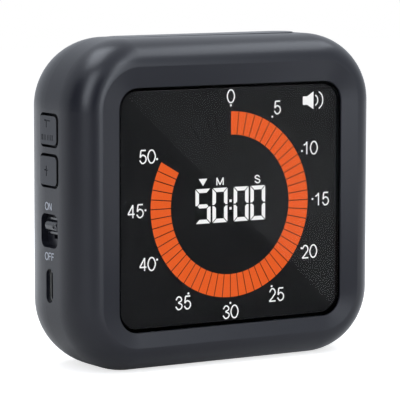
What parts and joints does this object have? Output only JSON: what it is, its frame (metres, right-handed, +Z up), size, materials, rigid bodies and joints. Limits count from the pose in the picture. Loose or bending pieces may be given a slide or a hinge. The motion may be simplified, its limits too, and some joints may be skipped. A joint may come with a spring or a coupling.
{
  "type": "visual countdown timer",
  "caption": "Desktop countdown timer: crowned rounded-square case, ring display round a digital time, long start bar on top, side keys, slide switch and USB-C socket.",
  "frame": {"origin": "on the table under the middle of the body, in the plane of the foot flat", "axes": "+X to the right seen from the front, -Y out of the display, +Z up"},
  "size_m": [0.0968, 0.0336, 0.0897],
  "materials": {
    "housing_plastic": "satin soft-touch",
    "key_plastic": "satin",
    "window_plastic": "clear hard-coated acrylic, gloss",
    "lcd_glass": "black display face",
    "segment_orange": "glowing orange",
    "segment_white": "glowing white",
    "segment_dark": "unlit segment",
    "tray_plastic": "moulded white",
    "clear_acrylic": "polished clear",
    "reflector_film": "white film",
    "flex_film": "amber polyimide",
    "board_green": "solder mask",
    "chip_black": "moulded",
    "switch_steel": "drawn sheet",
    "screw_steel": "black zinc",
    "inner_plastic": "moulded black",
    "battery_foil": "laminated foil",
    "adhesive_tape": "foam tape",
    "lead_red": "insulated wire",
    "speaker_steel": "black lacquer"
  },
  "bodies": {
    "case": {"front_housing": "housing_plastic", "front_window": "window_plastic", "window_tape": "adhesive_tape", "lcd_cell": "lcd_glass", "lcd_ring_lit": "segment_orange", "lcd_ring_unlit": "segment_dark", "lcd_time_lit": "segment_white", "lcd_time_unlit": "segment_dark", "display_frame": "tray_plastic", "display_frame_screws": "screw_steel", "light_guide": "clear_acrylic", "light_reflector": "reflector_film", "backlight_strip": "reflector_film", "lcd_flex": "flex_film", "lcd_flex_connector": "inner_plastic", "main_board": "board_green", "main_board_screws": "screw_steel", "controller_chip": "chip_black", "edit_tact_switch": "switch_steel", "adjust_tact_switch": "switch_steel", "start_tact_switch": "switch_steel", "power_switch_case": "switch_steel", "usb_c_shell": "switch_steel", "usb_c_tongue": "inner_plastic", "start_bar_guide": "inner_plastic", "start_bar_guide_screws": "screw_steel", "battery_cell": "battery_foil", "battery_tape": "adhesive_tape", "battery_leads": "lead_red", "speaker": "speaker_steel", "speaker_gasket": "adhesive_tape", "speaker_leads": "lead_red", "rear_cover": "housing_plastic", "rear_cover_screws": "screw_steel"},
    "start_bar_body": {"start_bar": "key_plastic"},
    "edit_key_body": {"edit_key": "key_plastic"},
    "adjust_key_body": {"adjust_key": "key_plastic"},
    "power_knob": {"power_switch_knob": "key_plastic", "power_switch_lever": "inner_plastic"}
  },
  "joints": [
    {"name": "start_bar_press", "type": "slide", "parent": "case", "child": "start_bar_body", "axis": [0, 0, -1], "range_m": [0, 0.0006], "stiffness_N_per_m": 1500, "springref_m": -0.0003},
    {"name": "edit_key_press", "type": "slide", "parent": "case", "child": "edit_key_body", "axis": [1, 0, 0], "range_m": [0, 0.00045], "stiffness_N_per_m": 1500, "springref_m": -0.0003},
    {"name": "adjust_key_press", "type": "slide", "parent": "case", "child": "adjust_key_body", "axis": [1, 0, 0], "range_m": [0, 0.00045], "stiffness_N_per_m": 1500, "springref_m": -0.0003},
    {"name": "power_slide", "type": "slide", "parent": "case", "child": "power_knob", "axis": [0, 0, -1], "range_m": [0, 0.0025]}
  ]
}
